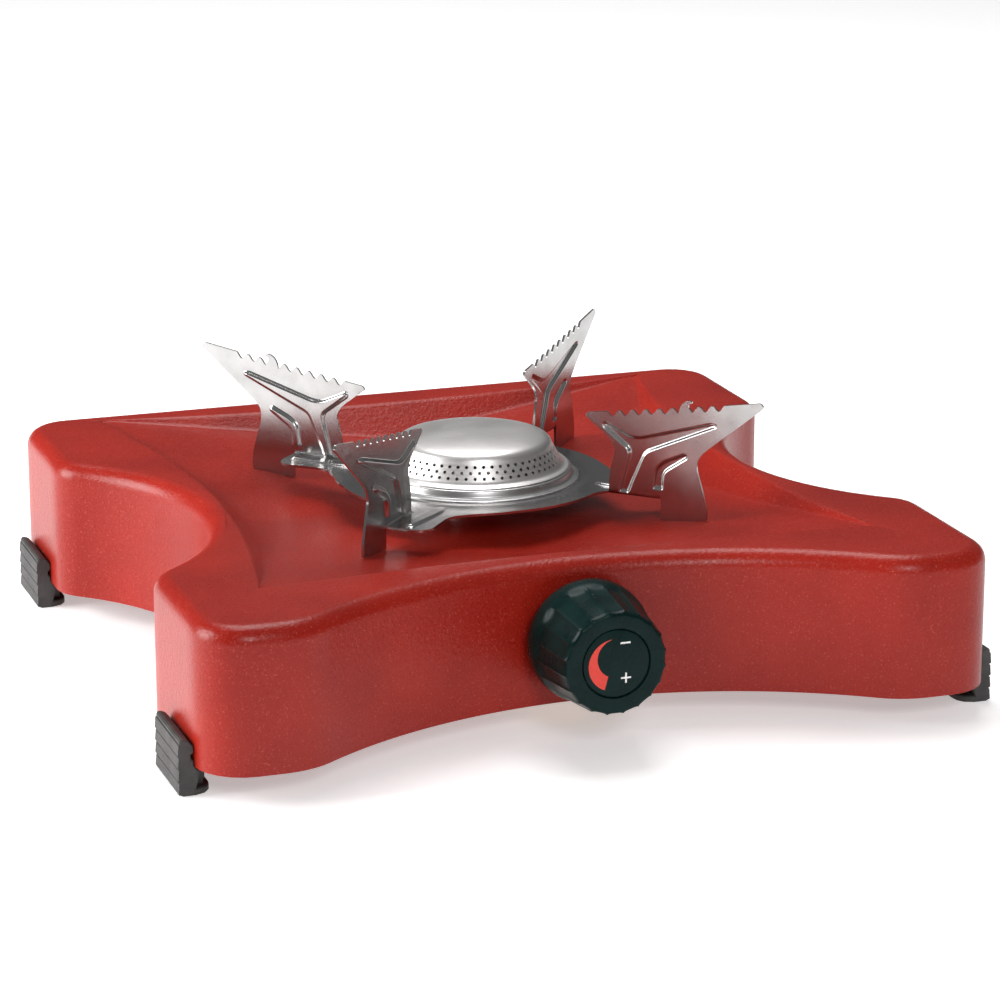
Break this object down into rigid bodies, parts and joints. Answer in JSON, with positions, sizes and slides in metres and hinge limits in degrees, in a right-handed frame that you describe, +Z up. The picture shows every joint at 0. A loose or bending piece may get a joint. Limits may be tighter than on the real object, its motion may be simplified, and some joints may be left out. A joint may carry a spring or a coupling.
{
  "type": "single-burner camp stove",
  "caption": "Table-top gas stove: star-shaped pressed steel housing on rubber feet, winged pan support, round burner and a rotary gas tap.",
  "frame": {"origin": "on the table plane, under the centre of the stove's overall box", "axes": "+Z up, +X to the right as seen from the knob, the knob on -Y and the gas inlet on +Y"},
  "size_m": [0.262, 0.269, 0.09],
  "materials": {
    "red_paint": "glossy red powder coat with a fine orange-peel grain",
    "rubber": "matt black rubber",
    "stainless_sheet": "bright pressed stainless sheet",
    "stainless_cap": "satin stainless cap with rows of small ports",
    "aluminium": "spun aluminium",
    "cast_zinc": "dull cast metal",
    "brass": "machined brass",
    "copper": "drawn copper tube",
    "zinc_plated": "zinc plated steel",
    "knob_plastic": "glossy black plastic with a green tint",
    "label_plastic": "black disc printed with a red crescent and white marks"
  },
  "bodies": {
    "base": {"housing": "red_paint", "foot_front_left": "rubber", "foot_front_right": "rubber", "foot_rear_left": "rubber", "foot_rear_right": "rubber", "pan_support": "stainless_sheet", "burner_cap": "stainless_cap", "burner_bowl": "aluminium", "burner_locknut": "brass", "mixing_elbow": "cast_zinc", "mixing_tube": "cast_zinc", "air_shutter": "stainless_sheet", "gas_jet": "brass", "valve_body": "brass", "valve_washer": "zinc_plated", "valve_panel_nut": "zinc_plated", "spindle_gland": "brass", "spindle_oring": "rubber", "inlet_pipe": "copper", "pipe_nut_valve": "brass", "pipe_nut_inlet": "brass", "inlet_connector": "brass", "inlet_washer": "rubber", "inlet_locknut": "zinc_plated"},
    "tap": {"knob": "knob_plastic", "knob_clip": "zinc_plated", "knob_label": "label_plastic", "valve_spindle": "brass"}
  },
  "joints": [
    {"name": "tap_turn", "type": "hinge", "parent": "base", "child": "tap", "pos_m": [0, -0.1, 0.031], "axis": [0, -1, 0], "range_deg": [0, 270]}
  ]
}
